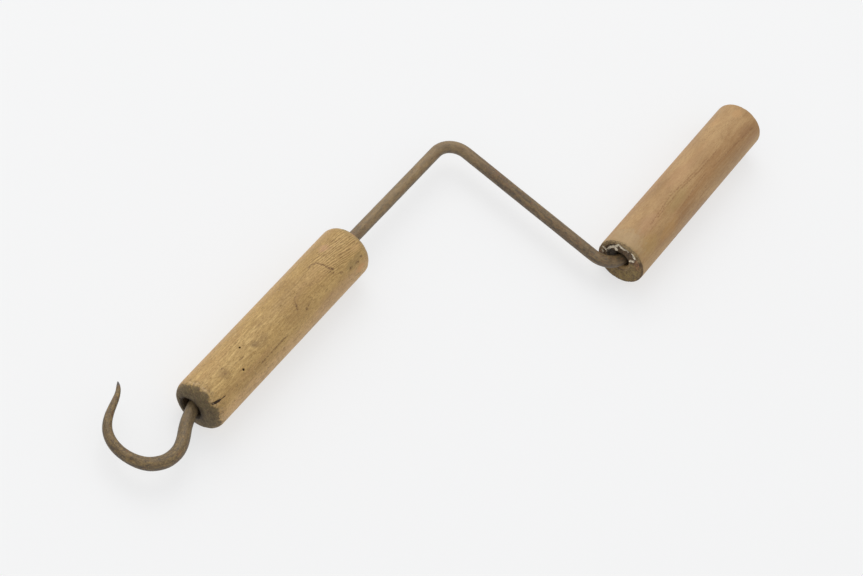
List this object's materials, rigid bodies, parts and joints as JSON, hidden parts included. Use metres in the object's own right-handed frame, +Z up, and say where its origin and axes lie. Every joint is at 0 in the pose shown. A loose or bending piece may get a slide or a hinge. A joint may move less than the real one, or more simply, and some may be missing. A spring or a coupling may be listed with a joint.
{
  "type": "rope making machine",
  "caption": "Hand-cranked rope twister: a cranked iron bar with a hook at one end turns in a wooden sleeve held in one hand; a wooden grip on the crank pin is wound with the other.",
  "frame": {"origin": "middle of the underside of the whole tool's box, as it lies flat on a bench on its two wooden sleeves", "axes": "+X runs along the spindle from the hook end to the free end of the crank grip; the crank arm runs towards -Y from the spindle and the hook's point turns towards +Y; +Z is up from the bench, square to the plane of the bent bar"},
  "size_m": [0.555, 0.2184, 0.0396],
  "materials": {
    "bar_iron": "dark brown rust patina, hand forged",
    "handle_wood": "bare honey-brown wood with fine dark pores, worn",
    "grip_wood": "bare tan wood with reddish grain, worn smooth by the hand",
    "washer_iron": "rusted"
  },
  "bodies": {
    "bearing_handle": {"bearing_handle": "handle_wood"},
    "crank": {"crank_rod": "bar_iron", "grip_washer": "washer_iron"},
    "crank_grip": {"crank_grip": "grip_wood"}
  },
  "joints": [
    {"name": "crank_spin", "type": "hinge", "parent": "bearing_handle", "child": "crank", "pos_m": [-0.12777, 0.06292, 0.019], "axis": [-1, 0, 0], "continuous": true},
    {"name": "grip_spin", "type": "hinge", "parent": "crank", "child": "crank_grip", "pos_m": [0.18463, -0.09023, 0.019], "axis": [1, 0, 0], "continuous": true}
  ]
}
